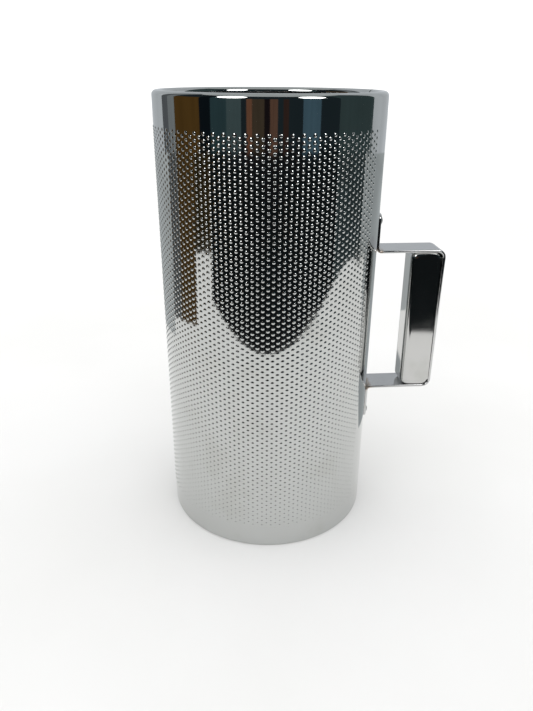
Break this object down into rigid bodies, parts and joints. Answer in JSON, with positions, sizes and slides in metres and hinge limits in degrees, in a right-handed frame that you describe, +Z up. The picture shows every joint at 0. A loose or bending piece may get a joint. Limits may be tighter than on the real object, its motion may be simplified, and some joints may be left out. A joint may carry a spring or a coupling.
{
  "type": "chimney charcoal starter",
  "caption": "Tall open cylinder of mirror-bright sheet with rows of small raised dots, a rolled rim, a strap handle with a box grip, and a wire grate inside.",
  "frame": {"origin": "on the surface that the cylinder stands on, under the middle of the object's bounding box, handle included", "axes": "+Z up along the cylinder, +X towards the handle, +Y across"},
  "size_m": [0.2022, 0.15, 0.305],
  "materials": {
    "body_chrome": "mirror-bright chromed sheet with raised dots",
    "strap_chrome": "bright chromed flat strap",
    "grip_chrome": "bright chromed pressed box",
    "rivet_steel": "satin steel rivet",
    "screw_steel": "satin steel screw",
    "grate_wire": "drawn steel wire",
    "clip_sheet": "plain steel strip"
  },
  "bodies": {
    "root": {"body_shell": "body_chrome", "handle_strap": "strap_chrome", "grip_shell": "grip_chrome", "handle_rivet_upper_front": "rivet_steel", "handle_rivet_upper_back": "rivet_steel", "handle_rivet_lower_front": "rivet_steel", "handle_rivet_lower_back": "rivet_steel", "grip_screw_upper": "screw_steel", "grip_screw_lower": "screw_steel", "grate_ring": "grate_wire", "grate_bar_1": "grate_wire", "grate_bar_2": "grate_wire", "grate_bar_3": "grate_wire", "grate_bar_4": "grate_wire", "grate_bar_5": "grate_wire", "grate_bar_6": "grate_wire", "grate_bar_7": "grate_wire", "grate_bar_8": "grate_wire", "grate_cross_bar_front": "grate_wire", "grate_cross_bar_back": "grate_wire", "grate_clip_1": "clip_sheet", "grate_clip_2": "clip_sheet", "grate_clip_3": "clip_sheet", "grate_clip_4": "clip_sheet"}
  },
  "joints": []
}
